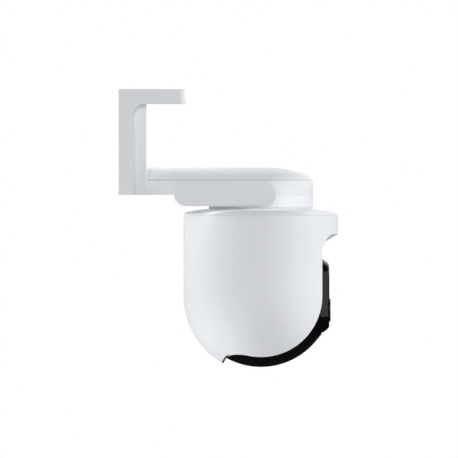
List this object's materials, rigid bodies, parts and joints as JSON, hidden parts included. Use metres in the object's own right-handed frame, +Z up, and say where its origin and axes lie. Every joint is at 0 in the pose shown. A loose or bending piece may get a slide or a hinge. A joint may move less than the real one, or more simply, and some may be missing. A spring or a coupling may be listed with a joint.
{
  "type": "pan and tilt monitor camera",
  "caption": "Drum-shaped pan and tilt camera hanging from a C-shaped wall or ceiling bracket, with a black ball eye and a folding antenna on each side.",
  "frame": {"origin": "middle of the wall plate's back face, which lies on the wall", "axes": "+X away from the wall towards the lens, +Z up along the wall, +Y across"},
  "size_m": [0.1426, 0.1004, 0.1803],
  "materials": {
    "white_plastic": "satin white moulded plastic",
    "black_gloss": "piano black gloss",
    "lens_glass": "coated lens glass",
    "clear_lens": "clear moulded lens",
    "dark_plastic": "fine matte",
    "rubber": "matte rubber",
    "nylon": "moulded nylon",
    "circuit_board": "green solder mask",
    "brass": "machined",
    "steel": "zinc-plated steel"
  },
  "bodies": {
    "root": {"wall_plate": "steel", "bracket_frame": "white_plastic", "top_arm_cover": "white_plastic", "bracket_cap": "white_plastic", "lock_screw_left": "steel", "lock_screw_right": "steel", "cap_screw_left": "steel", "cap_screw_right": "steel", "network_board": "circuit_board", "usb_port": "steel", "port_cover": "rubber", "reset_switch": "dark_plastic", "base_ring": "white_plastic", "base_seal": "nylon", "pan_bearing": "nylon", "pan_motor": "steel"},
    "head": {"housing_shell": "white_plastic", "housing_top": "white_plastic", "visor_liner": "white_plastic", "head_frame": "dark_plastic", "tilt_bush_left": "nylon", "tilt_bush_right": "nylon", "tilt_motor": "steel", "drive_board": "circuit_board", "speaker": "dark_plastic", "pan_gear": "nylon", "pan_shaft": "dark_plastic", "pan_retaining_ring": "steel"},
    "eye": {"ball_front_shell": "black_gloss", "ball_rear_shell": "black_gloss", "face_panel": "black_gloss", "lens_ring": "black_gloss", "lens_glass": "lens_glass", "lens_barrel": "dark_plastic", "sensor_board": "circuit_board", "light_sensor": "lens_glass", "microphone": "dark_plastic", "light_lens_left": "clear_lens", "light_lens_right": "clear_lens", "light_led_left": "clear_lens", "light_led_right": "clear_lens", "light_board": "circuit_board", "tilt_shaft_left": "steel", "tilt_shaft_right": "steel", "tilt_gear": "nylon"},
    "pan_pinion": {"pan_pinion": "brass"},
    "tilt_pinion": {"tilt_pinion": "brass"},
    "antenna_left": {"antenna_left_back": "white_plastic", "antenna_left_cover": "white_plastic", "antenna_left_element": "brass", "antenna_left_pin": "steel", "antenna_left_clip": "steel"},
    "antenna_right": {"antenna_right_back": "white_plastic", "antenna_right_cover": "white_plastic", "antenna_right_element": "brass", "antenna_right_pin": "steel", "antenna_right_clip": "steel"},
    "reset_button": {"reset_button": "dark_plastic"}
  },
  "joints": [
    {"name": "pan", "type": "hinge", "parent": "root", "child": "head", "pos_m": [0.0924, 0, -0.05], "axis": [0, 0, 1], "range_deg": [-175, 175]},
    {"name": "tilt", "type": "hinge", "parent": "head", "child": "eye", "pos_m": [0.0924, 0, -0.0997], "axis": [0, 1, 0], "range_deg": [-5, 80]},
    {"name": "pan_pinion_spin", "type": "hinge", "parent": "root", "child": "pan_pinion", "pos_m": [0.0684, 0, -0.038], "axis": [0, 0, 1], "range_deg": [-875, 875]},
    {"name": "tilt_pinion_spin", "type": "hinge", "parent": "head", "child": "tilt_pinion", "pos_m": [0.0924, 0.0356, -0.0757], "axis": [0, 1, 0], "range_deg": [-400, 25]},
    {"name": "antenna_left_fold", "type": "hinge", "parent": "root", "child": "antenna_left", "pos_m": [0.0951, -0.039, -0.0338], "axis": [0, 1, 0], "range_deg": [0, 180]},
    {"name": "antenna_right_fold", "type": "hinge", "parent": "root", "child": "antenna_right", "pos_m": [0.0951, 0.039, -0.0338], "axis": [0, 1, 0], "range_deg": [0, 180]},
    {"name": "reset_press", "type": "slide", "parent": "root", "child": "reset_button", "axis": [0, 0, 1], "range_m": [0, 0.0006], "stiffness_N_per_m": 500, "springref_m": -0.0008}
  ],
  "couplings": [
    {"joint": "pan_pinion_spin", "follows": "pan", "ratio": -5},
    {"joint": "tilt_pinion_spin", "follows": "tilt", "ratio": -5}
  ]
}
